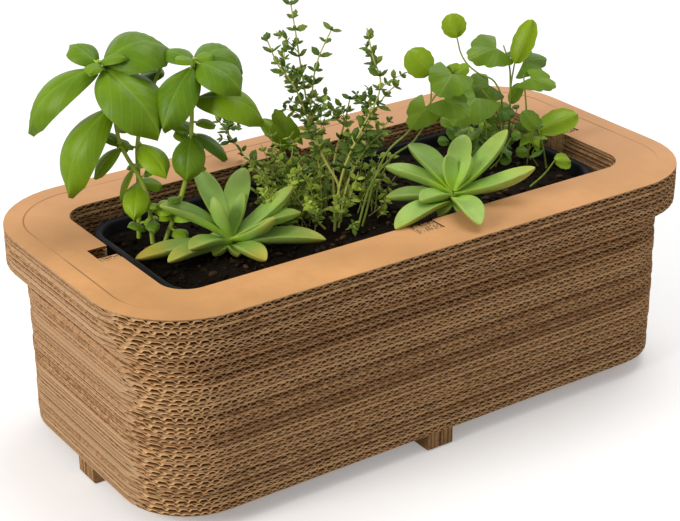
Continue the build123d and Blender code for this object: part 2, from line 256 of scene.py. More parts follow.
class BoardSettings(bpy.types.PropertyGroup):
    liner: length("Liner", "Thickness of a board's lower and middle flat sheets", 0.0005)
    top_liner: length("Top liner", "Thickness of a board's upper flat sheet", 0.0008)
    flute_paper: length("Flute paper", "Thickness of a fluted sheet", 0.0006)
    fine_height: length("Fine flute", "Height of a board's lower, finer waves", 0.0018)
    fine_pitch: length("Fine pitch", "Length of one finer wave", 0.0044)
    coarse_pitch: length("Coarse pitch", "Length of one wave of the upper fluted sheet", 0.0058)
    flute_step: length("Flute step", "Spacing of the points along a wave", 0.0006)
    body_corner: length("Body corner", "Corner radius of the body boards", 0.045)
    rim_corner: length("Rim corner", "Corner radius of the rim boards", 0.0565)
    opening_length: length("Opening length", "Length of the well", 0.336)
    opening_width: length("Opening width", "Width of the well", 0.1425)
    opening_corner: length("Opening corner", "Corner radius of the well", 0.018)
    notch_width: length("Notch width", "Width of a key's notch in the well's wall", 0.019)
    notch_depth: length("Notch depth", "Depth of a key's notch in the well's wall", 0.013)
    misfit: length("Misfit", "How far a board may lie from its true place", 0.0004)
    face: color("Face", "Smooth kraft of the outermost sheets", (0.69, 0.352, 0.138))
    # Painted light: the paler, cooler tint of the rim's top towards the back and right
    painted_far_light: color("Faded", "Smooth kraft where the rim's top has faded", (0.69, 0.385, 0.215))
    edge_light: color("Light edge", "Palest cut edges", (0.745, 0.447, 0.211))
    edge_dark: color("Dark edge", "Darkest cut edges", (0.33, 0.165, 0.07))
    # Flank colours both random bleached patches and the painted light of the box's outer ends
    flank: color("Flank", "Sides of the flutes that the box's ends show", (0.56, 0.357, 0.197))
    # Deep is painted shade: the dark colour laid inside the flutes' mouths and low on a slat
    deep: color("Deep", "Paper deep inside the flutes", (0.18, 0.084, 0.027))
    score: color("Score", "Line pressed into the rim's top", (0.20, 0.09, 0.035))


class TubSettings(bpy.types.PropertyGroup):
    lip_width: length("Lip width", "Width of the flat lip", 0.004)
    lip_thickness: length("Lip thickness", "Height of the lip's edge", 0.002)
    lip_corner: length("Lip corner", "Corner radius of the lip", 0.024)
    wall: length("Wall", "Wall thickness", 0.0016)
    draft: angle("Draft", "Slope of the walls", 3.0)
    plastic: color("Plastic", "Black plastic", (0.008, 0.008, 0.009))
    crumb_count: count("Crumbs", "Loose crumbs on the soil", 900)
    soil_dark: color("Dark soil", "Wet crumbs", (0.012, 0.008, 0.005))
    soil_light: color("Light soil", "Dry crumbs and fibres", (0.11, 0.065, 0.035))


class PlantSettings(bpy.types.PropertyGroup):
    basil_light: color("Bright basil", "Young basil leaves", (0.26, 0.42, 0.010))
    basil_dark: color("Dark basil", "Shaded basil leaves", (0.052, 0.135, 0.005))
    thyme_light: color("Bright thyme", "Young thyme leaves", (0.42, 0.54, 0.06))
    thyme_dark: color("Dark thyme", "Old thyme leaves", (0.075, 0.14, 0.018))
    coriander_light: color("Bright coriander", "Young round leaves", (0.26, 0.40, 0.009))
    coriander_dark: color("Dark coriander", "Older lobed leaves", (0.075, 0.165, 0.016))
    stem: color("Stem", "Pale green stems", (0.32, 0.42, 0.06))
    woody_stem: color("Woody stem", "Straw-coloured thyme stems", (0.58, 0.57, 0.15))
    succulent_face: color("Succulent", "Waxy faces of the fleshy leaves", (0.36, 0.58, 0.113))
    succulent_base: color("Succulent base", "Green low on the fleshy leaves", (0.37, 0.57, 0.024))
    succulent_tip: color("Succulent tip", "Ripe tips and edges", (0.55, 0.42, 0.05))
    coriander_sprout_count: count("Sprouts", "Low coriander sprouts", 26)
    thyme_sprig_count: count("Thyme sprigs", "Low sprigs of the bush", 68)


class StageSettings(bpy.types.PropertyGroup):
    target: FloatVectorProperty(
        name="Target",
        description="Point that the camera looks at",
        default=(0.02968, 0.05768, 0.06216),
        unit="LENGTH",
    )
    distance: length("Distance", "From the target to the camera", 1.2195)
    azimuth: angle("Azimuth", "Camera's turn from the front", -34.2157)
    elevation: angle("Elevation", "Camera's height angle", 25.0784)
    roll: angle("Roll", "Camera's turn about its own axis", -0.5714)
    lens: amount("Lens", "Focal length in millimetres", 94.78)
    key_power: amount("Key power", "Watts of the large lamp at the left", 25.0)
    fill: amount("Fill", "Strength of the even light all round", 0.46)
    floor: color("Floor", "Pale floor as the camera sees it", (0.93, 0.93, 0.93))
    floor_bounce: color("Floor bounce", "Floor as it lights the object", (0.5, 0.5, 0.5))
    floor_glow: amount("Floor glow", "White added where the camera sees the floor", 0.25)


class PlanterSettings(bpy.types.PropertyGroup):
    boards: PointerProperty(type=BoardSettings)
    tub: PointerProperty(type=TubSettings)
    plants: PointerProperty(type=PlantSettings)
    stage: PointerProperty(type=StageSettings)


# Materials

# Fine fibres of the paper as noise scale, detail and stretch, and the strength and height of their bump
FIBRES = (900.0, 4.0, (0.25, 1.0, 1.0))
FIBRE_BUMP = (0.25, 0.2 * MM)
# Depths between which painted shade darkens a cut edge inside a flute's mouth; depths far inside an end
# over which the ends' painted light fades out; heights on and above a foot over which the painted shade on
# a slat fades out
MOUTH_SHADE = (0.3 * MM, 1.8 * MM)
END_LIGHT_FADE = (6.0 * MM, 12.0 * MM)
TOE_SHADE = (15.0 * MM, 30.0 * MM)
# How deep the painted mouth shade is held back, so that a flute's flank stays light, at the box's ends and
# at its rounded corners
END_FLANK = 8.0 * MM
CORNER_FLANK = 1.6 * MM
# Line pressed into the rim's top: how far inside the body's outline it runs, and its soft edge
SCORE_INSET = 0.5 * MM
SCORE_EDGE = (0.2 * MM, 0.8 * MM)
VEIN_GREEN = (0.5, 0.62, 0.2, 1.0)


class Value:
    """An output of a node, with plain arithmetic."""

    def __init__(self, nodes, socket):
        self.nodes = nodes
        self.socket = socket

    def __add__(self, other):
        return self.nodes.math("ADD", self, other)

    def __sub__(self, other):
        return self.nodes.math("SUBTRACT", self, other)

    def __rsub__(self, other):
        return self.nodes.math("SUBTRACT", other, self)

    def __mul__(self, other):
        return self.nodes.math("MULTIPLY", self, other)

    def __abs__(self):
        return self.nodes.math("ABSOLUTE", self)

    def most(self, other):
        return self.nodes.math("MAXIMUM", self, other)

    def fade(self, low, high):
        ends = {"Value": self, "From Min": low, "From Max": high}
        return self.nodes.add("ShaderNodeMapRange", "Result", ends, interpolation_type="SMOOTHSTEP")


class Nodes:
    """A node tree, and the kinds of nodes that the finishes need."""

    def __init__(self, tree):
        self.tree = tree

    def feed(self, socket, value):
        if isinstance(value, Value):
            self.tree.links.new(value.socket, socket)
        else:
            socket.default_value = value

    def add(self, kind, output, inputs, **settings):
        node = self.tree.nodes.new(kind)
        for key, value in settings.items():
            setattr(node, key, value)
        for key, value in inputs.items():
            self.feed(node.inputs[key], value)
        return Value(self, node.outputs[output])

    def math(self, operation, first, second=0.0):
        return self.add("ShaderNodeMath", 0, {0: first, 1: second}, operation=operation)

    def attribute(self, name):
        return self.add("ShaderNodeAttribute", "Fac", {}, attribute_name=name)

    def ray(self, kind):
        return self.add("ShaderNodeLightPath", kind, {})

    def place(self):
        return self.add("ShaderNodeTexCoord", "Object", {})

    def axis(self, index):
        return self.add("ShaderNodeSeparateXYZ", index, {0: self.place()})

    def noise(self, scale, detail=3.0, stretch=(1.0, 1.0, 1.0)):
        place = self.add("ShaderNodeMapping", "Vector", {"Vector": self.place(), "Scale": stretch})
        return self.add("ShaderNodeTexNoise", "Fac", {"Vector": place, "Scale": scale, "Detail": detail})

    def blend(self, factor, first, second):
        return self.add("ShaderNodeMix", 2, {0: factor, 6: first, 7: second}, data_type="RGBA")


class Finish(Nodes):
    """A material and its shader."""

    def __init__(self, name):
        self.material = bpy.data.materials.new(name)
        self.material.use_nodes = True
        super().__init__(self.material.node_tree)
        self.shader = self.tree.nodes["Principled BSDF"]

    def set(self, **values):
        for key, value in values.items():
            self.feed(self.shader.inputs[key.replace("_", " ").title().replace("Ior", "IOR")], value)

    def bump(self, height, strength, distance):
        inputs = {"Strength": strength, "Distance": distance, "Height": height}
        self.set(normal=self.add("ShaderNodeBump", "Normal", inputs))


def shade_of(base, share):
    return (*(channel * share for channel in base[:3]), 1.0)


def outline_reach(finish, half_length, half_width, radius):
    """Distance past the straight core of a rounded rectangle, and its share along x."""
    past_length = (abs(finish.axis(0)) - (half_length - radius)).most(0.0)
    past_width = (abs(finish.axis(1)) - (half_width - radius)).most(0.0)
    reach = finish.math("SQRT", past_length * past_length + past_width * past_width)
    return reach, finish.math("DIVIDE", past_length, reach)


def kraft_edge_finish(name, boards, outline=None):
    """Cut edges of raw board: each sheet has its own tone; painted shade darkens the flutes' mouths and a
    slat's foot, painted light brightens the box's outer ends, and at its rounded corners painted light
    lifts the flutes and painted shade darkens the liners.
    """
    finish = Finish(name)
    fibres = finish.noise(*FIBRES)
    patches = finish.noise(35.0, 4.0, (1.0, 1.0, 6.0))
    flecks = finish.noise(320.0, 2.0, (1.0, 1.0, 1.5)).fade(0.36, 0.64)
    tone = finish.attribute("tone") + patches * 0.5 + flecks * 0.75 + fibres * 0.2
    if outline:
        reach, endwise = outline_reach(finish, *outline)
        outer = outline[2] - reach
        # Painted light on the box's outer ends, fading out with depth so that the well's end walls stay
        # shaded
        outside = 1.0 - outer.fade(*END_LIGHT_FADE) * 0.9
        end_light = (endwise + tone * 0.04).fade(0.96, 1.01) * outside
        # Painted light and shade at the rounded corners: the flutes lighter, the liners darker
        walls = endwise.fade(0.05, 0.4) * (1.0 - end_light) * (finish.attribute("flute") - 0.4)
        tone = tone + end_light * 0.25 + walls
    paper = finish.blend(tone.fade(0.28, 1.75), boards.edge_dark, boards.edge_light)
    bleached = finish.noise(210.0, 2.0).fade(0.45, 0.7)
    paper = finish.blend(bleached * 0.3, paper, boards.flank)
    if outline:
        # Painted light: the outer ends' lighter sheets are toned towards the flank colour
        paper = finish.blend(tone.fade(0.6, 1.5) * end_light, paper, boards.flank)
        # Painted shade inside each flute's mouth: the cut edge turns to the deep colour with its depth
        # from the outer outline and from the well
        well = (boards.opening_length / 2, boards.opening_width / 2, boards.opening_corner)
        inner = outline_reach(finish, *well)[0] - boards.opening_corner
        depth = finish.math("MINIMUM", outer, inner)
        flank = end_light * END_FLANK + walls * CORNER_FLANK
        paper = finish.blend((depth - flank).fade(*MOUTH_SHADE), paper, boards.deep)
    else:
        # Painted shade low on a slat, deepest at its foot
        toe = 1.0 - finish.axis(2).fade(*TOE_SHADE)
        paper = finish.blend(toe * 0.45, paper, boards.deep)
    finish.set(base_color=paper, roughness=0.9, specular_ior_level=0.1)
    finish.bump(fibres, *FIBRE_BUMP)
    return finish.material


def kraft_face_finish(name, boards, scored=False):
    """Smooth kraft with clouds and stains; the rim's top has a painted light tint towards the back and
    right, and a faint line over the body's outline.
    """
    finish = Finish(name)
    fibres = finish.noise(*FIBRES)
    clouds = finish.noise(16.0, 5.0).fade(0.25, 0.75)
    stains = finish.noise(90.0, 4.0).fade(0.4, 0.75)
    paper = finish.blend(clouds, shade_of(boards.face, 0.8), shade_of(boards.face, 1.17))
    paper = finish.blend(fibres * 0.18, paper, shade_of(boards.face, 0.7))
    paper = finish.blend(stains * 0.2, paper, shade_of(boards.face, 0.75))
    height = fibres
    if scored:
        x, y = finish.axis(0), finish.axis(1)
        # Painted light: the rim's top turns to the paler, cooler tint towards the back and right
        far = (x * 0.5 + y).fade(-0.18, 0.14)
        paper = finish.blend(far * 0.75, paper, boards.painted_far_light)
        high = node_box(BODY_BOARDS[-1])[1]
        reach = outline_reach(finish, high.x, high.y, boards.body_corner)[0]
        offset = abs(reach - (boards.body_corner - SCORE_INSET))
        worn = finish.noise(14.0, 2.0).fade(0.24, 0.5) * 0.7 * y.fade(-0.09, -0.04)
        sides = abs(x).fade(0.13, 0.18).most(y.fade(0.0, 0.06))
        line = (1.0 - offset.fade(*SCORE_EDGE)) * worn * sides
        paper = finish.blend(line, paper, boards.score)
        height = fibres - line
    finish.set(base_color=paper, roughness=0.82, specular_ior_level=0.15)
    finish.bump(height, *FIBRE_BUMP)
    return finish.material


def leaf_finish(name, light, dark, vein_count, roughness=0.36):
    """A thin leaf: a pale midrib, side veins, cloudy green and a shade of its own for each leaf."""
    finish = Finish(name)
    side = abs(finish.attribute("across"))
    leaning = finish.attribute("along") - side * VEIN_LEAN
    from_vein = abs(finish.math("FRACT", leaning * vein_count) - 0.5)
    vein = 1.0 - from_vein.fade(0.02, 0.14)
    midrib = 1.0 - side.fade(0.015, 0.075)
    lines = midrib.most(vein * 0.45)
    shade = finish.attribute("tone") + finish.noise(70.0) * 0.5
    green = finish.blend(shade.fade(0.1, 1.3), dark, light)
    green = finish.blend(lines * 0.16, green, finish.blend(0.5, light, VEIN_GREEN))
    finish.set(base_color=green, roughness=roughness, specular_ior_level=0.16)
    finish.bump(finish.noise(300.0) - lines, 0.3, 0.4 * MM)
    return finish.material


def stem_finish(name, base):
    finish = Finish(name)
    streaks = finish.noise(160.0, 3.0, (1.0, 1.0, 0.2))
    green = finish.blend(streaks, shade_of(base, 0.65), shade_of(base, 1.25))
    finish.set(base_color=green, roughness=0.5, specular_ior_level=0.25)
    finish.bump(streaks, 0.2, 0.3 * MM)
    return finish.material


def succulent_finish(plants):
    """Waxy fleshy leaves: bright green at the base, a pale bloom on the face, ripe tips and edges."""
    finish = Finish("waxy_succulent")
    along = finish.attribute("along")
    clouds = finish.noise(60.0).fade(0.3, 0.75)
    face = finish.blend(along.fade(0.1, 0.55), plants.succulent_base, plants.succulent_face)
    face = finish.blend(clouds, shade_of(plants.succulent_face, 0.72), face)
    ripe = finish.attribute("tone") * along.fade(0.45, 1.0)
    edge = abs(finish.attribute("across")).fade(0.86, 1.0) * 0.15
    tip = along.fade(0.92, 1.0) * 0.35
    face = finish.blend(ripe.most(edge.most(tip)), face, plants.succulent_tip)
    finish.set(base_color=face, roughness=0.46, specular_ior_level=0.3)
    finish.set(subsurface_weight=0.12, subsurface_radius=(0.4, 0.8, 0.15), subsurface_scale=3.0 * MM)
    finish.bump(finish.noise(420.0), 0.12, 0.3 * MM)
    return finish.material


def plastic_finish(plastic):
    finish = Finish("black_plastic")
    scuffs = finish.noise(55.0, 5.0)
    black = finish.blend(scuffs, plastic, shade_of(plastic, 2.2))
    finish.set(base_color=black, roughness=scuffs * 0.2 + 0.2, specular_ior_level=0.03)
    finish.bump(finish.noise(26.0, 2.0), 0.25, 1.2 * MM)
    return finish.material


def soil_finish(tub):
    """Dark earth with paler grains and crumbs, with painted shade over its left end."""
    finish = Finish("potting_soil")
    grains = finish.noise(420.0, 6.0)
    tone = finish.attribute("tone") + grains.fade(0.5, 0.85)
    earth = finish.blend(tone.fade(0.2, 1.2), tub.soil_dark, tub.soil_light)
    # Painted shade over the soil's left end
    left_end_shade = 1.0 - finish.axis(0).fade(-0.14, -0.09)
    earth = finish.blend(left_end_shade * 0.7, earth, shade_of(tub.soil_dark, 0.4))
    finish.set(base_color=earth, roughness=0.9, specular_ior_level=0.05)
    finish.bump(grains, 0.9, 1.5 * MM)
    return finish.material


# Pieces

def finish_piece(name, bm, body, nodes, materials, crease=40.0):
    """Makes the object, smooths it up to the crease angle, ties it to its body and hides the CAD nodes
    that it stands in for.
    """
    mesh = bpy.data.meshes.new(name)
    bm.to_mesh(mesh)
    bm.free()
    for material in materials:
        mesh.materials.append(material)
    for polygon in mesh.polygons:
        polygon.use_smooth = True
    mesh.set_sharp_from_angle(angle=math.radians(crease))
    piece = bpy.data.objects.new(name, mesh)
    bpy.context.scene.collection.objects.link(piece)
    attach(piece, body)
    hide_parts(*nodes)


def rounded_loop(bm, corners, turned, radius, level, segments=10):
    """Edges of a flat outline whose turned corners are rounded."""
    old_edges = set(bm.edges)
    old_faces = set(bm.faces)
    verts = [bm.verts.new((x, y, level)) for x, y in corners]
    bm.faces.new(verts)
    bmesh.ops.bevel(
        bm,
        geom=[verts[index] for index in turned],
        offset=radius,
        offset_type="OFFSET",
        segments=segments,
        profile=0.5,
        affect="VERTICES",
        material=-1,
    )
    faces = [face for face in bm.faces if face not in old_faces]
    bmesh.ops.delete(bm, geom=faces, context="FACES_ONLY")
    return [edge for edge in bm.edges if edge not in old_edges]


def rectangle(half_length, half_width):
    return (
        (-half_length, -half_width),
        (half_length, -half_width),
        (half_length, half_width),
        (-half_length, half_width),
    )


def half_width_at(place, half_length, half_width, radius):
    """Half width of a rounded rectangle at a place along its length."""
    over = abs(place) - (half_length - radius)
    if over <= 0:
        return half_width
    return half_width - radius + math.sqrt(max(radius * radius - over * over, 0.0))


def board_mesh():
    bm = bmesh.new()
    for name in ("tone", "flute"):
        bm.verts.layers.float.new(name)
    return bm


def paint(bm, verts, value, name="tone"):
    layer = bm.verts.layers.float[name]
    for vert in verts:
        vert[layer] = value


def add_liner(bm, loops, level, paper, tone):
    """A flat sheet between outlines; each loop is corners, turned corners and radius."""
    edges = []
    for corners, turned, radius in loops:
        edges.extend(rounded_loop(bm, corners, turned, radius, level))
    filled = bmesh.ops.triangle_fill(bm, use_beauty=True, edges=edges, normal=UP)
    faces = [item for item in filled["geom"] if isinstance(item, bmesh.types.BMFace)]
    paint(bm, {vert for face in faces for vert in face.verts}, tone)
    raised = bmesh.ops.extrude_face_region(bm, geom=faces, use_keep_orig=True)
    top = [item for item in raised["geom"] if isinstance(item, bmesh.types.BMVert)]
    bmesh.ops.translate(bm, verts=top, vec=(0, 0, paper))
    shell = {face for vert in top for face in vert.link_faces}
    bmesh.ops.recalc_face_normals(bm, faces=[*shell, *faces])


def add_flutes(bm, columns, near, far, wave, paper, tone):
    """A strip of fluted sheet over the columns, from its near edge to its far edge."""
    last = len(columns) - 1
    strip = bmesh.ops.create_grid(bm, x_segments=last, y_segments=1, size=1.0)
    for vert in strip["verts"]:
        place = columns[round((vert.co.x + 1) / 2 * last)]
        side = far(place) if vert.co.y > 0 else near(place)
        vert.co = (place, side, wave(place) + paper / 2)
    paint(bm, strip["verts"], tone)
    paint(bm, strip["verts"], 1.0, "flute")
    faces = list({face for vert in strip["verts"] for face in vert.link_faces})
    bmesh.ops.solidify(bm, geom=faces, thickness=paper)


def board_sheets(boards, start, thickness):
    """A board's flat sheets as level and thickness, and its fluted ones as middle, height and pitch."""
    fine = start + boards.liner
    middle = fine + boards.fine_height
    coarse = middle + boards.liner
    top = start + thickness - boards.top_liner
    liners = ((start, boards.liner), (middle, boards.liner), (top, boards.top_liner))
    flutes = (
        ((fine + middle) / 2, boards.fine_height, boards.fine_pitch),
        ((coarse + top) / 2, top - coarse, boards.coarse_pitch),
    )
    return liners, flutes


# A wave's lean to one side, spread of its pitch, and the noise that crushes and sways it along the sheet
FLUTE_BREADTH = (0.2, 0.6)
PITCH_SPREAD = (0.9, 1.1)
CRUSH_MIDDLE, CRUSH_SPAN, CRUSH_SCALE = 0.85, 0.45, 60.0
SWAY_SPAN, SWAY_SCALE = 2.2, 45.0


def flute_wave(rng, boards, level, room, pitch):
    """Height of a fluted sheet along its waves: broad arches, a little crushed here and there."""
    phase = rng.uniform(0.0, math.tau)
    broad = rng.uniform(*FLUTE_BREADTH)
    turns = math.tau / (pitch * rng.uniform(*PITCH_SPREAD))
    swing = (room - boards.flute_paper) / 2
    drift = rng.uniform(0.0, 100.0)

    def wave(place):
        crush = CRUSH_MIDDLE + CRUSH_SPAN * noise.noise((place * CRUSH_SCALE, drift, 0.0))
        sway = SWAY_SPAN * noise.noise((place * SWAY_SCALE, drift, 9.0))
        arch = math.tanh(ARCH_STEEPNESS * (math.sin(turns * place + phase + sway) + broad))
        return level + min(crush, 1.0) * swing * arch

    return wave


def flute_columns(half_length, radius, step, breaks):
    """Places along a board at which its fluted sheets have points, closer together at the rounded ends."""
    straight = half_length - radius
    count = math.ceil(2 * straight / step)
    places = {straight * (2 * index / count - 1) for index in range(count + 1)}
    turns = math.ceil(radius * math.pi / 2 / step)
    for index in range(1, turns + 1):
        end = straight + radius * math.sin(math.pi / 2 * index / turns)
        places |= {end, -end}
    for place in breaks:
        places |= {place, -place}
    return sorted(places)


def ring_spans(outer, inner, half_length, boards):
    """Stretches of a ring board along its length, each with its near and far edge."""
    well = boards.opening_length / 2
    deep = well + boards.notch_depth
    notch = boards.notch_width / 2
    wide = boards.opening_width / 2 + boards.notch_depth
    stretches = [(deep, half_length, lambda x: 0.0), (well, deep, lambda x: notch), (notch, well, inner)]
    spans = [(-notch, notch, lambda x: wide)]
    for start, end, edge in stretches:
        spans += [(start, end, edge), (-end, -start, edge)]
    for start, end, edge in spans:
        yield start, end, lambda x, edge=edge: edge(x), outer
        yield start, end, lambda x: -outer(x), lambda x, edge=edge: -edge(x)


# Tones of the sheets: spread between boards, extra for the rim, extra painted light for top liners along
# each board's upper edge, and spread within a board
BOARD_TONE = 0.35
RIM_TONE = 0.12
TOP_LINER_LIGHT = 0.32
LINER_TONES = (-0.2, 0.4)
FLUTE_TONES = (-0.2, 0.5)


def build_board(node, boards, materials, rng):
    """A board of three liners and two fluted sheets; rim and wall boards are rings about the well."""
    low, high = node_box(node)
    radius = boards.rim_corner if node in RIM_BOARDS else boards.body_corner
    is_floor = node in BODY_BOARDS[:2]
    well = (boards.opening_length / 2, boards.opening_width / 2)
    notch = boards.notch_width / 2
    deep = (well[0] + boards.notch_depth, well[1] + boards.notch_depth)

    def outer(place):
        return half_width_at(place, high.x, high.y, radius)

    def inner(place):
        return half_width_at(place, *well, boards.opening_corner)

    loops = [(rectangle(high.x, high.y), range(4), radius)]
    spans = [(-high.x, high.x, lambda x: -outer(x), outer)]
    if not is_floor:
        quarter = ((notch, deep[1]), (notch, well[1]), well, (well[0], notch), (deep[0], notch))
        corners = []
        for turn, (side, front) in enumerate(((1, 1), (1, -1), (-1, -1), (-1, 1))):
            part = [(x * side, y * front) for x, y in quarter]
            corners += reversed(part) if turn % 2 else part
        own_corners = range(2, len(corners), len(quarter))
        loops.append((corners, own_corners, boards.opening_corner))
        spans = ring_spans(outer, inner, high.x, boards)

    bm = board_mesh()
    liners, flutes = board_sheets(boards, low.z, high.z - low.z)
    board_tone = rng.uniform(-BOARD_TONE, BOARD_TONE) + (RIM_TONE if node in RIM_BOARDS else 0.0)
    for level, paper in liners:
        # Painted light: top liners get a paler tone along each board's upper edge
        pale = TOP_LINER_LIGHT if paper == boards.top_liner else 0.0
        add_liner(bm, loops, level, paper, board_tone + pale + rng.uniform(*LINER_TONES))
    columns = flute_columns(high.x, radius, boards.flute_step, (well[0], deep[0], notch))
    rows = [(flute_wave(rng, boards, *flute), board_tone + rng.uniform(*FLUTE_TONES)) for flute in flutes]
    for start, end, near, far in spans:
        stretch = [place for place in columns if start <= place <= end]
        for wave, tone in rows:
            add_flutes(bm, stretch, near, far, wave, boards.flute_paper, tone)
    shift = (rng.uniform(-boards.misfit, boards.misfit), rng.uniform(-boards.misfit, boards.misfit), 0.0)
    bmesh.ops.translate(bm, verts=bm.verts[:], vec=shift)
    top, rim, sole, floor = RIM_BOARDS[-1], RIM_BOARDS[0], *BODY_BOARDS[:2]
    bare = {top: high.z, rim: low.z, sole: low.z, floor: high.z}.get(node)
    if bare is not None:
        for face in bm.faces:
            if abs(face.calc_center_median().z - bare) < boards.liner / 4:
                face.material_index = RIM_TOP_SLOT if node == top else FACE_SLOT
    finish_piece(f"{node}_sheets", bm, "box", [node], materials)


class PLANTER_OT_boards(bpy.types.Operator):
    """Build the box's boards, each of three flat and two fluted sheets"""

    bl_idname = "planter.boards"
    bl_label = "Boards"

    def execute(self, context):
        boards = context.scene.planter.boards
        top = kraft_face_finish("kraft_rim_top", boards, scored=True)
        face = kraft_face_finish("kraft_face", boards)
        rng = random.Random(22)
        for group, radius in ((BODY_BOARDS, boards.body_corner), (RIM_BOARDS, boards.rim_corner)):
            high = node_box(group[0])[1]
            edge = kraft_edge_finish(f"kraft_edge_{len(group)}", boards, (high.x, high.y, radius))
            for node in group:
                build_board(node, boards, (edge, top, face), rng)
        return {"FINISHED"}


# Key slats as node, outward direction, side of the tall board, drop of the other two below the rim's top
KEYS = (
    ("front_key", Vector((0, -1, 0)), 1, 0.7 * MM),
    ("back_key", Vector((0, 1, 0)), -1, 10.0 * MM),
    ("left_key", Vector((-1, 0, 0)), -1, 10.0 * MM),
    ("right_key", Vector((1, 0, 0)), 1, 1.2 * MM),
)
KEY_DROP = 0.5 * MM
KEY_CLEARANCE = 0.5 * MM
FOOT_ROUND = 2.5 * MM
# Flute paper of a slat against that of a board
SLAT_PAPER = 1.8


def toe_round(place, toe):
    """Height of a foot's rounded lower edge."""
    past = max(place - toe + FOOT_ROUND, 0.0)
    return FOOT_ROUND - math.sqrt(FOOT_ROUND**2 - past**2)


def build_key(node, outward, tall_side, step, boards, materials, rng):
    """An upright slat of three boards, whose toe under the stack is a foot."""
    low, high = node_box(node)
    spread = (abs(low.dot(outward)), abs(high.dot(outward)))
    well, toe = min(spread), max(spread)
    back = well + boards.notch_depth - KEY_CLEARANCE
    sole = node_box(BODY_BOARDS[0])[0].z
    thickness = node_box(BODY_BOARDS[0])[1].z - sole
    crushed = boards.flute_paper * SLAT_PAPER
    bm = board_mesh()
    for index in (-1, 0, 1):
        top = RIM_TOP - (KEY_DROP if index == tall_side else step)
        liners, flutes = board_sheets(boards, (index - 0.5) * thickness, thickness)
        profile = ((well, 0), (toe, 0), (toe, sole), (back, sole), (back, top), (well, top))
        for level, paper in liners:
            add_liner(bm, [(profile, [1], FOOT_ROUND)], level, paper, rng.uniform(0.3, 0.9))
        for flute in flutes:
            wave = flute_wave(rng, boards, *flute)
            tone = rng.uniform(0.3, 0.9)
            for first, last, height in ((well, back, top), (back, toe, sole)):
                count = math.ceil((last - first) / boards.flute_step)
                columns = [first + (last - first) * part / count for part in range(count + 1)]
                add_flutes(bm, columns, lambda x: toe_round(x, toe), lambda x: height, wave, crushed, tone)
    turn = Matrix((outward, UP, outward.cross(UP))).transposed().to_4x4()
    bmesh.ops.transform(bm, matrix=turn, verts=bm.verts[:])
    finish_piece(f"{node}_sheets", bm, "box", [node], materials)


class PLANTER_OT_keys(bpy.types.Operator):
    """Build the four key slats with their feet"""

    bl_idname = "planter.keys"
    bl_label = "Key slats"

    def execute(self, context):
        boards = context.scene.planter.boards
        materials = (kraft_edge_finish("kraft_slat_edge", boards),)
        rng = random.Random(4)
        for node, outward, tall_side, step in KEYS:
            build_key(node, outward, tall_side, step, boards, materials, rng)
        return {"FINISHED"}


class PLANTER_OT_tub(bpy.types.Operator):
    """Build the black tub with its rolled lip"""

    bl_idname = "planter.tub"
    bl_label = "Tub"

    def execute(self, context):
        tub = context.scene.planter.tub
        low, high = node_box("tub")
        slope = math.tan(tub.draft)

        def narrowing(level):
            return tub.lip_width + (high.z - level) * slope

        under = high.z - tub.lip_thickness
        roll = tub.lip_thickness / 3
        floor = low.z + tub.wall
        # Rings from the outer bottom over the lip to the inner floor, as level and inset
        rings = (
            (low.z, narrowing(low.z) + roll),
            (low.z + roll, narrowing(low.z)),
            (under, narrowing(under)),
            (under, roll),
            (under + roll, 0.0),
            (high.z - roll, 0.0),
            (high.z - roll / 3, roll / 3),
            (high.z, roll),
            (high.z, tub.lip_width),
            (high.z - roll / 2, tub.lip_width + roll),
            (under, narrowing(under) + tub.wall),
            (floor, narrowing(floor) + tub.wall),
        )
        bm = bmesh.new()
        level, inset = rings[0]
        corners = rectangle(high.x - inset, high.y - inset)
        edges = rounded_loop(bm, corners, range(4), tub.lip_corner - inset, level, segments=12)
        bmesh.ops.contextual_create(bm, geom=edges)
        core = (high.x - tub.lip_corner, high.y - tub.lip_corner)
        for level, inset in rings[1:]:
            grown = bmesh.ops.extrude_edge_only(bm, edges=edges)["geom"]
            edges = [item for item in grown if isinstance(item, bmesh.types.BMEdge) and item.is_boundary]
            for vert in {vert for edge in edges for vert in edge.verts}:
                middle = Vector([math.copysign(part, side) for part, side in zip(core, vert.co)])
                spoke = (vert.co.xy - middle).normalized() * (tub.lip_corner - inset)
                vert.co = (*(middle + spoke), level)
        bmesh.ops.contextual_create(bm, geom=edges)
        bmesh.ops.recalc_face_normals(bm, faces=bm.faces[:])
        materials = [plastic_finish(tub.plastic)]
        finish_piece("tub_shell", bm, "planted_tub", ["tub"], materials, 50.0)
        return {"FINISHED"}


SOIL_DEPTH = 14.0 * MM
SOIL_RELIEF = 2.4 * MM
SOIL_GRID = (180, 70)
CRUMB_SIZES = (0.7, 0.9, 1.2, 1.7, 2.4)
CRUMB_TONES = (0.0, 0.1, 0.2, 0.3, 0.5, 1.0)


def soil_lump(x, y):
    """Height of the soil's lumps above its level, coarse and fine."""
    spot = Vector((x, y, 0.0))
    return SOIL_RELIEF * (0.7 * noise.noise(spot * 70.0) + 0.5 * noise.noise(spot * 210.0) - 0.3)


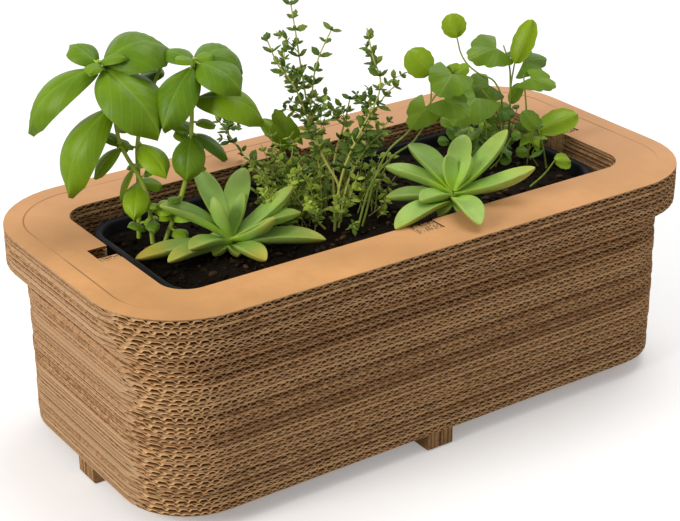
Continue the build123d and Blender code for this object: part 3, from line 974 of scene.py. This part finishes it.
class PLANTER_OT_soil(bpy.types.Operator):
    """Build the crumbly soil with loose crumbs on it"""

    bl_idname = "planter.soil"
    bl_label = "Soil"

    def execute(self, context):
        tub = context.scene.planter.tub
        high = node_box("soil")[1]
        radius = tub.lip_corner - tub.lip_width - tub.wall

        def side(x):
            return half_width_at(x, high.x, high.y, radius)

        bm = bmesh.new()
        bm.verts.layers.float.new("tone")
        bmesh.ops.create_grid(bm, x_segments=SOIL_GRID[0], y_segments=SOIL_GRID[1], size=1.0)
        for vert in bm.verts:
            x = vert.co.x * high.x
            y = vert.co.y * side(x)
            vert.co = (x, y, high.z + soil_lump(x, y))
        raised = bmesh.ops.extrude_face_region(bm, geom=bm.faces[:], use_keep_orig=True)
        for item in raised["geom"]:
            if isinstance(item, bmesh.types.BMVert):
                item.co.z = high.z - SOIL_DEPTH
        bmesh.ops.recalc_face_normals(bm, faces=bm.faces[:])
        rng = random.Random(8)
        for index in range(tub.crumb_count):
            size = rng.choice(CRUMB_SIZES) * MM
            x = rng.uniform(-1, 1) * (high.x - 3 * size)
            y = rng.uniform(-1, 1) * (side(x) - 3 * size)
            stretch = Vector((rng.uniform(0.6, 2.0), rng.uniform(0.6, 1.2), rng.uniform(0.5, 0.9))) * size
            spin = Matrix.Rotation(rng.uniform(0, math.tau), 4, "Z")
            tilt = Matrix.Rotation(rng.uniform(-0.5, 0.5), 4, "X")
            place = Matrix.Translation((x, y, high.z + soil_lump(x, y) + size / 3))
            shape = place @ spin @ tilt @ Matrix.Diagonal((*stretch, 1.0))
            crumb = bmesh.ops.create_icosphere(bm, subdivisions=1, radius=1.0, matrix=shape)
            paint(bm, crumb["verts"], rng.choice(CRUMB_TONES))
        finish_piece("soil_crumbs", bm, "planted_tub", ["soil"], [soil_finish(tub)], 70.0)
        return {"FINISHED"}


# Plants

def on_soil(point, place):
    return Vector((point[0] + place[0], point[1] + place[1], point[2])) * MM + UP * SOIL_TOP


def lines_on_soil(lines, place):
    return [[on_soil(point, place) for point in line] for line in lines]


def stem_curve(lines, radius, taper):
    """A curve with one smooth round stem through each line of points."""
    curve = bpy.data.curves.new("stems", "CURVE")
    curve.dimensions = "3D"
    curve.bevel_depth = radius
    curve.bevel_resolution = 2
    curve.resolution_u = 6
    curve.use_fill_caps = True
    for line in lines:
        spline = curve.splines.new("BEZIER")
        spline.bezier_points.add(len(line) - 1)
        for index, point in enumerate(line):
            spline.bezier_points[index].co = point
            spline.bezier_points[index].radius = 1.0 - taper * index / (len(line) - 1)
        for knot in spline.bezier_points:
            knot.handle_left_type = "AUTO"
            knot.handle_right_type = "AUTO"
    return curve


def stem_points(spline):
    """Points along a stem's smooth line."""
    knots = spline.bezier_points
    points = [knots[0].co.copy()]
    for first, second in zip(knots, knots[1:]):
        handles = (first.co, first.handle_right, second.handle_left, second.co)
        points += geometry.interpolate_bezier(*handles, STEM_STEPS)[1:]
    return points


def add_stems(bm, curve):
    """Adds a curve's round stems to a plant's mesh."""
    holder = bpy.data.objects.new("stems", curve)
    mesh = bpy.data.meshes.new_from_object(holder)
    old = set(bm.faces)
    bm.from_mesh(mesh)
    for face in bm.faces:
        if face not in old:
            face.material_index = STEM_SLOT
    bpy.data.objects.remove(holder)
    bpy.data.meshes.remove(mesh)
    bpy.data.curves.remove(curve)


def leaf_mesh():
    bm = bmesh.new()
    for name in ("tone", "along", "across"):
        bm.verts.layers.float.new(name)
    return bm


def leaf_axes(base, tip, facing):
    """Unit directions along a leaf, across it and out of the face that it turns to the light."""
    along = (tip - base).normalized()
    across = facing.cross(along).normalized()
    return along, across, along.cross(across)


def mark_leaf(bm, vert, tone, along, across):
    layers = bm.verts.layers.float
    vert[layers["tone"]] = tone
    vert[layers["along"]] = along
    vert[layers["across"]] = across


def add_leaf(bm, base, tip, width, droop, form, segments, tone, facing=UP):
    """Bends a grid into a thin leaf; form turns a place on the grid into one on and above the leaf."""
    chord = (tip - base).length
    forward, sideways, upward = leaf_axes(base, tip, facing)
    rise = chord / 2 * math.tan(math.radians(droop) / 4)
    grid = bmesh.ops.create_grid(bm, x_segments=segments[0], y_segments=segments[1], size=1.0)
    for vert in grid["verts"]:
        along, across, height = form((vert.co.x + 1) / 2, vert.co.y)
        mark_leaf(bm, vert, tone, along, across)
        lift = 4 * rise * along * (1 - along) + height * width
        vert.co = base + forward * chord * along + sideways * across * width / 2 + upward * lift
    bmesh.ops.remove_doubles(bm, verts=grid["verts"], dist=1e-5)


def ovate(along, front, back):
    """Width of a leaf that rises and falls with these powers, 1 at its widest."""
    widest = front / (front + back)
    peak = widest**front * (1 - widest) ** back
    return along**front * (1 - along) ** back / peak


def basil_form(along, across):
    """Ovate with a drawn-out tip, domed, and puffed up between the side veins."""
    side = across * min(ovate(along, 0.7, 0.66), 4.0 * (1 - along))
    vein = math.sin(math.pi * BASIL_VEINS * (along - VEIN_LEAN * abs(side))) ** 2
    puff = 0.05 * vein * abs(across) * (1 - abs(across))
    crease = 0.03 * (1 - abs(across)) ** 4
    curl = 0.5 * max(along - 0.6, 0.0) ** 2
    return along, side, puff - crease - 0.2 * across * across - curl


def round_form(along, across):
    """Nearly round, with a gently wavy edge."""
    wave = 1 + 0.03 * math.cos(2 * math.pi * 4 * along)
    height = 0.03 * math.cos(across * 5) - 0.07 * across * across
    return along, across * ovate(along, 0.5, 0.5) * wave, height


def lobed_form(along, across):
    """A fan about the stalk's end, with three broad lobes and a scalloped edge."""
    turn = across * math.radians(118)
    edge = 0.8 + 0.15 * abs(math.cos(2.2 * turn)) ** 0.6 + 0.05 * abs(math.cos(6.6 * turn))
    reach = along * edge
    ripple = 0.05 * along * along * math.cos(4.8 * turn) - 0.1 * (reach * math.sin(turn)) ** 2
    return 0.22 + 0.75 * reach * math.cos(turn), 1.05 * reach * math.sin(turn), ripple


def small_form(along, across):
    return along, across * ovate(along, 0.6, 0.6), -0.15 * across * across


def thicken(bm, thickness):
    bmesh.ops.solidify(bm, geom=bm.faces[:], thickness=thickness)


def finish_herb(name, bm, leaf, stem):
    finish_piece(f"{name}_plant", bm, "planted_tub", [name], [leaf, stem], 60.0)


# Directions that the leaves turn their faces to
BASIL_FACING = UP * 0.75 + LIGHT_SIDE * 0.5
CORIANDER_FACING = UP * 0.3 + LIGHT_SIDE
# Basil leaves' start of the blade and end of the stalk, as shares of the way from the stem to the tip
LARGE_STALK = (0.06, 0.14)
SMALL_STALK = (0.2, 0.3)


class PLANTER_OT_basil(bpy.types.Operator):
    """Build the basil's stems and domed leaves"""

    bl_idname = "planter.basil"
    bl_label = "Basil"

    def execute(self, context):
        plants = context.scene.planter.plants
        rng = random.Random(17)
        bm = leaf_mesh()
        lines = lines_on_soil(BASIL_STEMS, BASIL_PLACE)
        petioles = []

        def add_stalked(joint, tip, width, droop, grid, tone, stalk):
            base = joint.lerp(tip, stalk[0])
            petioles.append([joint, base, joint.lerp(tip, stalk[1])])
            add_leaf(bm, base, tip, width, droop, basil_form, grid, tone, BASIL_FACING)

        for start, end, width, droop, tone in BASIL_LEAVES:
            joint, tip = on_soil(start, BASIL_PLACE), on_soil(end, BASIL_PLACE)
            add_stalked(joint, tip, width * MM, droop, (28, 16), tone, LARGE_STALK)
        for line in lines:
            for first, second in zip(line, line[1:-1]):
                for share in (0.25, 0.5, 0.75):
                    joint = first.lerp(second, share)
                    turn = rng.uniform(0.0, math.tau)
                    reach = rng.uniform(9.0, 17.0) * MM
                    tip = joint + Vector((math.cos(turn), math.sin(turn), rng.uniform(-0.3, 0.6))) * reach
                    tone = rng.uniform(0.2, 0.9)
                    droop = rng.uniform(20, 60)
                    add_stalked(joint, tip, reach * 0.62, droop, (14, 8), tone, SMALL_STALK)
        thicken(bm, 0.5 * MM)
        add_stems(bm, stem_curve(lines, 1.5 * MM, 0.3))
        add_stems(bm, stem_curve(petioles, 0.8 * MM, 0.3))
        leaf = leaf_finish("basil_leaf", plants.basil_light, plants.basil_dark, BASIL_VEINS)
        stem = stem_finish("basil_stem", shade_of(plants.stem, 1.35))
        finish_herb("basil", bm, leaf, stem)
        return {"FINISHED"}


# A whorl of thyme leaves as quarter turn and size: a pair, and a smaller pair across it
THYME_WHORL = ((0, 1.0), (2, 1.0), (1, 0.6), (3, 0.6))
SIDE_SHOOTS = 4


def thyme_leaves(bm, points, rng, spacing, size, bare, tones):
    """Whorls of small leaves along a stem past its bare foot."""
    travelled = 0.0
    pair = rng.randrange(2)
    reach = sum((b - a).length for a, b in zip(points, points[1:]))
    gone = 0.0
    for first, second in zip(points, points[1:]):
        step = (second - first).length
        travelled += step
        gone += step
        if travelled < spacing or gone < bare * reach:
            continue
        travelled = 0.0
        pair += 1
        upward = (second - first).normalized()
        level = upward.orthogonal().normalized()
        for quarter, share in THYME_WHORL:
            turn = Matrix.Rotation((pair + quarter) * math.pi / 2 + rng.uniform(-0.3, 0.3), 3, upward)
            outward = turn @ level
            rise = rng.uniform(0.2, 0.8)
            long = size * share * rng.uniform(0.75, 1.15) * (1 - 0.3 * gone / reach)
            tip = second + (outward * math.cos(rise) + upward * math.sin(rise)) * long
            sway = Vector((rng.uniform(-1, 1), rng.uniform(-1, 1), rng.uniform(-1, 1)))
            facing = UP + LIGHT_SIDE * 0.8 + sway * 0.6
            width = long * rng.uniform(0.45, 0.6)
            droop = rng.uniform(15, 50)
            add_leaf(bm, second, tip, width, droop, small_form, (3, 2), rng.uniform(*tones), facing)


class PLANTER_OT_thyme(bpy.types.Operator):
    """Build the thyme's wiry stems and small leaves"""

    bl_idname = "planter.thyme"
    bl_label = "Thyme"

    def execute(self, context):
        plants = context.scene.planter.plants
        rng = random.Random(31)
        bm = leaf_mesh()
        tall = stem_curve(lines_on_soil(THYME_STEMS, THYME_PLACE), 0.8 * MM, 0.5)
        sprigs = []
        for index in range(plants.thyme_sprig_count):
            turn = rng.uniform(0.0, math.tau)
            spread = math.sqrt(rng.random())
            outward = Vector((math.cos(turn), math.sin(turn) * BUSH_DEPTH, 0.0))
            foot = outward * BUSH_RADIUS * spread
            in_front = max(0.0, -math.sin(turn)) * spread
            height = rng.uniform(22.0, 68.0) * (1.15 - 0.5 * spread) * (1 - 0.5 * in_front)
            lean = outward * rng.uniform(4.0, 22.0)
            sway = Vector((rng.uniform(-5, 5), rng.uniform(-5, 5), height * 0.55))
            sprigs.append((foot, foot + lean * 0.4 + sway, foot + lean + UP * height))
        low = stem_curve(lines_on_soil(sprigs, THYME_SPRIG_MIDDLE), 0.4 * MM, 0.4)
        shoots = []
        for spline in tall.splines:
            points = stem_points(spline)
            for index in range(SIDE_SHOOTS):
                start = points[round(len(points) * rng.uniform(0.4, 0.75))]
                turn = rng.uniform(0.0, math.tau)
                outward = Vector((math.cos(turn), math.sin(turn), rng.uniform(0.4, 1.4)))
                reach = outward * rng.uniform(8.0, 16.0) * MM
                shoots.append([start, start + reach * 0.5 + UP * MM, start + reach])
        side = stem_curve(shoots, 0.35 * MM, 0.4)
        # Stems with the spacing and length of their leaves in millimetres, bare share, and tones
        kinds = (
            (tall, 7.5, 10.0, 0.4, (-0.3, 0.25)),
            (side, 5.0, 8.0, 0.2, (-0.3, 0.45)),
            (low, 6.5, 7.5, 0.15, (0.0, 1.0)),
        )
        for stems, spacing, size, bare, tones in kinds:
            for spline in stems.splines:
                thyme_leaves(bm, stem_points(spline), rng, spacing * MM, size * MM, bare, tones)
        thicken(bm, 0.25 * MM)
        for stems in (tall, side, low):
            add_stems(bm, stems)
        leaf = leaf_finish("thyme_leaf", plants.thyme_light, plants.thyme_dark, 2.0, 0.55)
        finish_herb("thyme", bm, leaf, stem_finish("thyme_stem", plants.woody_stem))
        return {"FINISHED"}


class PLANTER_OT_coriander(bpy.types.Operator):
    """Build the coriander's stems, round and lobed leaves"""

    bl_idname = "planter.coriander"
    bl_label = "Coriander"

    def execute(self, context):
        plants = context.scene.planter.plants
        rng = random.Random(5)
        bm = leaf_mesh()
        kinds = (
            (CORIANDER_ROUND_LEAVES, round_form, (24, 14)),
            (CORIANDER_LOBED_LEAVES, lobed_form, (8, 56)),
        )
        for leaves, form, grid in kinds:
            for start, end, width, droop, tone in leaves:
                base, tip = on_soil(start, CORIANDER_PLACE), on_soil(end, CORIANDER_PLACE)
                add_leaf(bm, base, tip, width * MM, droop, form, grid, tone, CORIANDER_FACING)
        sprouts = []
        for index in range(plants.coriander_sprout_count):
            foot = Vector((rng.uniform(-38, 4), rng.uniform(-32, 22), 0.0))
            top = foot + Vector((rng.uniform(-14, 14), rng.uniform(-14, 14), rng.uniform(10, 36)))
            knee = foot.lerp(top, 0.5) + Vector((rng.uniform(-5, 5), rng.uniform(-5, 5), 0.0))
            sprouts.append((foot, knee, top))
            for start in (knee, top):
                tip = start + Vector((rng.uniform(-10, 10), rng.uniform(-10, 10), rng.uniform(-3, 7)))
                base, end = on_soil(start, CORIANDER_PLACE), on_soil(tip, CORIANDER_PLACE)
                form, grid = rng.choice(((round_form, (14, 8)), (lobed_form, (5, 32))))
                tone = rng.uniform(-0.1, 0.6)
                add_leaf(bm, base, end, (end - base).length, 40, form, grid, tone, CORIANDER_FACING)
        thicken(bm, 0.4 * MM)
        for lines, radius in ((CORIANDER_STEMS, 0.75 * MM), (sprouts, 0.45 * MM)):
            add_stems(bm, stem_curve(lines_on_soil(lines, CORIANDER_PLACE), radius, 0.35))
        leaf = leaf_finish("coriander_leaf", plants.coriander_light, plants.coriander_dark, 3.5)
        finish_herb("coriander", bm, leaf, stem_finish("coriander_stem", plants.stem))
        return {"FINISHED"}


# The ring of small leaves under a rosette, and the thickness of every fleshy leaf
LOW_LEAVES = 7
LOW_REACH = 18.0
LOW_WIDTH = 10.0 * MM
FLESH = 6.0 * MM
# Shares of the thickness above and below a fleshy leaf's middle
UPPER_FLESH = 0.25
UNDER_FLESH = 0.7
# Leaves whose tips lie under this height start lower on the crown, by a share of what they lack
HIGH_TIP = 18.0
SINK = 0.28


def fleshy_half(along):
    """Half width of a fleshy leaf: broad where it clasps the crown, rounded to a blunt tip."""
    widest = 0.6
    if along < widest:
        return 0.5 + 0.5 * math.sin(math.pi / 2 * along / widest) ** 1.4
    past = (along - widest) / (1 - widest)
    return (1 - past**2.2) ** 0.7


def add_fleshy_leaf(bm, base, tip, width, droop, thickness, tone):
    """Shapes a ball into a thick leaf with a shallow channel on top and a full underside."""
    chord = (tip - base).length
    forward, sideways, upward = leaf_axes(base, tip, UP)
    rise = chord / 2 * math.tan(math.radians(droop) / 4)
    ball = bmesh.ops.create_uvsphere(bm, u_segments=20, v_segments=22, radius=1.0)
    for vert in ball["verts"]:
        along = (1 - vert.co.z) / 2
        ring = math.hypot(vert.co.x, vert.co.y)
        across, depth, half = 0.0, 0.0, 0.0
        if ring > 1e-4:
            across, depth, half = vert.co.x / ring, vert.co.y / ring, fleshy_half(along)
        fullness = thickness * half**0.8
        height = depth * fullness * (UPPER_FLESH if depth > 0 else UNDER_FLESH)
        cup = 0.2 * width * half * across * across
        lift = 4 * rise * along * (1 - along) + height + cup
        mark_leaf(bm, vert, tone, along, across)
        vert.co = base + forward * chord * along + sideways * across * half * width / 2 + upward * lift


class PLANTER_OT_succulents(bpy.types.Operator):
    """Build the two rosettes of fleshy leaves"""

    bl_idname = "planter.succulents"
    bl_label = "Succulents"

    def execute(self, context):
        plants = context.scene.planter.plants
        materials = [succulent_finish(plants), stem_finish("succulent_stem", shade_of(plants.stem, 0.3))]
        for node, place, crown, leaves in SUCCULENTS:
            middle = on_soil(crown, place)
            bm = leaf_mesh()
            for end, width, droop, tone in leaves:
                tip = middle + Vector(end) * MM
                low = max(0.0, HIGH_TIP - end[2]) * SINK * MM
                add_fleshy_leaf(bm, middle - UP * low, tip, width * MM, droop, FLESH, tone)
            for index in range(LOW_LEAVES):
                turn = math.tau * index / LOW_LEAVES
                fall = -crown[2] * 0.45
                tip = middle + Vector((LOW_REACH * math.cos(turn), LOW_REACH * math.sin(turn), fall)) * MM
                add_fleshy_leaf(bm, middle - 5.0 * MM * UP, tip, LOW_WIDTH, 30, FLESH, 0.4)
            bmesh.ops.recalc_face_normals(bm, faces=bm.faces[:])
            stem = [on_soil((0, 0, 0), place), on_soil((0, 0, 3), place).lerp(middle, 0.4), middle]
            add_stems(bm, stem_curve([stem], 4.0 * MM, 0.0))
            finish_piece(f"{node}_rosette", bm, "planted_tub", [node], materials, 75.0)
        return {"FINISHED"}


# Lamps as name, place, diameter, share of the key power, tint
LAMPS = (
    ("key", (-1.9, -0.1, 1.1), 1.0, 1.0, (1.0, 0.97, 0.93)),
    ("top", (0.6, 0.25, 1.9), 1.4, 0.62, (1.0, 1.0, 1.0)),
)


def add_lamp(name, place, target, size, power, tint):
    lamp = bpy.data.lights.new(name, "AREA")
    lamp.shape = "DISK"
    lamp.size = size
    lamp.energy = power
    lamp.color = tint
    holder = bpy.data.objects.new(name, lamp)
    bpy.context.scene.collection.objects.link(holder)
    holder.location = place
    holder.rotation_euler = (target - Vector(place)).to_track_quat("-Z", "Y").to_euler()


class PLANTER_OT_stage(bpy.types.Operator):
    """Set up the floor, the lamps and the camera"""

    bl_idname = "planter.stage"
    bl_label = "Stage"

    def execute(self, context):
        stage = context.scene.planter.stage
        scene = context.scene
        scene.view_settings.view_transform = "Standard"
        target = Vector(stage.target)

        bm = bmesh.new()
        bmesh.ops.create_grid(bm, x_segments=1, y_segments=1, size=6.0)
        mesh = bpy.data.meshes.new("floor")
        bm.to_mesh(mesh)
        bm.free()
        paper = Finish("pale_floor")
        seen = paper.ray("Is Camera Ray")
        paper.set(base_color=paper.blend(seen, stage.floor_bounce, stage.floor), roughness=0.9)
        paper.set(emission_strength=seen * stage.floor_glow, specular_ior_level=0.0)
        mesh.materials.append(paper.material)
        floor = bpy.data.objects.new("floor", mesh)
        scene.collection.objects.link(floor)
        floor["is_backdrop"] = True

        world = bpy.data.worlds.new("studio")
        scene.world = world
        world.use_nodes = True
        sky = Nodes(world.node_tree)
        background = world.node_tree.nodes["Background"]
        background.inputs["Color"].default_value = (1.0, 1.0, 1.0, 1.0)
        seen = sky.ray("Is Camera Ray")
        for kind in ("Is Glossy Ray", "Is Transmission Ray"):
            seen = seen.most(sky.ray(kind))
        levels = {"Value": seen, "To Min": stage.fill, "To Max": 1.0}
        sky.feed(background.inputs["Strength"], sky.add("ShaderNodeMapRange", "Result", levels))

        for name, place, size, share, tint in LAMPS:
            add_lamp(name, place, target, size, stage.key_power * share, tint)

        turn, height, roll = stage.azimuth, stage.elevation, stage.roll
        right = Vector((math.cos(turn), math.sin(turn), 0.0))
        away = Vector((math.sin(turn), -math.cos(turn), 0.0))
        back = away * math.cos(height) + UP * math.sin(height)
        above = back.cross(right)
        across = math.cos(roll) * right + math.sin(roll) * above
        upward = -math.sin(roll) * right + math.cos(roll) * above
        camera = bpy.data.cameras.new("camera")
        camera.sensor_fit = "HORIZONTAL"
        camera.sensor_width = 36.0
        camera.lens = stage.lens
        holder = bpy.data.objects.new("camera", camera)
        axes = Matrix((across, upward, back)).transposed().to_4x4()
        holder.matrix_world = Matrix.Translation(target + back * stage.distance) @ axes
        scene.collection.objects.link(holder)
        scene.camera = holder
        return {"FINISHED"}


class VIEW3D_PT_planter(bpy.types.Panel):
    bl_label = "Planter"
    bl_space_type = "VIEW_3D"
    bl_region_type = "UI"
    bl_category = "Planter"

    def draw(self, context):
        for operator in OPERATORS:
            self.layout.operator(operator.bl_idname)
        settings = context.scene.planter
        for group in (settings.boards, settings.tub, settings.plants, settings.stage):
            column = self.layout.box().column()
            for name in group.__annotations__:
                column.prop(group, name)


SETTINGS = (BoardSettings, TubSettings, PlantSettings, StageSettings, PlanterSettings)
OPERATORS = (
    PLANTER_OT_boards,
    PLANTER_OT_keys,
    PLANTER_OT_tub,
    PLANTER_OT_soil,
    PLANTER_OT_basil,
    PLANTER_OT_thyme,
    PLANTER_OT_coriander,
    PLANTER_OT_succulents,
    PLANTER_OT_stage,
)


def register():
    for made in (*SETTINGS, *OPERATORS, VIEW3D_PT_planter):
        bpy.utils.register_class(made)
    bpy.types.Scene.planter = PointerProperty(type=PlanterSettings)


def unregister():
    del bpy.types.Scene.planter
    for made in reversed((*SETTINGS, *OPERATORS, VIEW3D_PT_planter)):
        bpy.utils.unregister_class(made)


def main():
    register()
    bpy.ops.planter.boards()
    bpy.ops.planter.keys()
    bpy.ops.planter.tub()
    bpy.ops.planter.soil()
    bpy.ops.planter.basil()
    bpy.ops.planter.thyme()
    bpy.ops.planter.coriander()
    bpy.ops.planter.succulents()
    bpy.ops.planter.stage()
    sizes = {"cad": cad_box, "visual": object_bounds()}
    {name: [list(corner) for corner in box] for name, box in sizes.items()}


if __name__ == "__main__":
    main()
